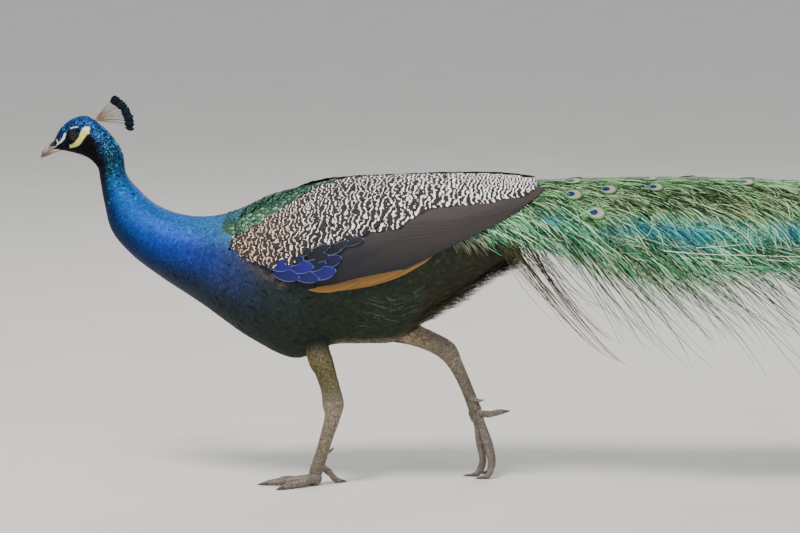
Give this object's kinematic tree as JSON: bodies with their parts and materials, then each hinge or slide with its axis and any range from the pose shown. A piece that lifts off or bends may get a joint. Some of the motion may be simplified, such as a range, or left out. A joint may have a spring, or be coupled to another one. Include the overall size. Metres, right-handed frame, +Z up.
{
  "type": "peacock",
  "caption": "Life-size still model of a peacock walking, crested, with a long folded train of feathers carried level behind it.",
  "frame": {"origin": "on the floor, midway between the tip of the bill and the tip of the train, in the bird's plane of symmetry", "axes": "+Z up, -X the way the bird faces, -Y its left side"},
  "size_m": [2.0976, 0.2654, 0.6027],
  "materials": {
    "blue_plumage": "metallic blue feathers of the head and neck",
    "body_plumage": "dark blue-green feathers, near black below",
    "crest_feathers": "bare pale shafts with dark blue-green tips",
    "wing_feathers": "buff and blackish wavy bars, grey-brown flight feathers, violet-blue coverts",
    "chestnut_feathers": "matt chestnut orange",
    "train_feathers": "loose metallic green and bronze barbs with eye spots",
    "tail_feathers": "matt dark brown",
    "thigh_plumage": "short speckled buff-brown feathers",
    "leg_scales": "grey-brown scales",
    "horn": "grey-brown horn",
    "face_skin": "bare whitish skin",
    "eye": "wet dark brown"
  },
  "bodies": {
    "root": {"head": "blue_plumage", "neck_upper": "blue_plumage", "neck_lower": "blue_plumage", "trunk": "body_plumage", "eye_left": "eye", "eye_right": "eye", "bill_upper": "horn", "bill_lower": "horn", "crest": "crest_feathers", "wing_left": "wing_feathers", "primaries_left": "chestnut_feathers", "wing_right": "wing_feathers", "primaries_right": "chestnut_feathers", "train_base": "train_feathers", "train_middle": "train_feathers", "train_end": "train_feathers", "tail": "tail_feathers", "thigh_left": "thigh_plumage", "tarsus_left": "leg_scales", "spur_left": "horn", "foot_left": "leg_scales", "claw_left_inner": "horn", "claw_left_middle": "horn", "claw_left_outer": "horn", "claw_left_hind": "horn", "thigh_right": "thigh_plumage", "tarsus_right": "leg_scales", "spur_right": "horn", "foot_right": "leg_scales", "claw_right_inner": "horn", "claw_right_middle": "horn", "claw_right_outer": "horn", "claw_right_hind": "horn"}
  },
  "joints": []
}
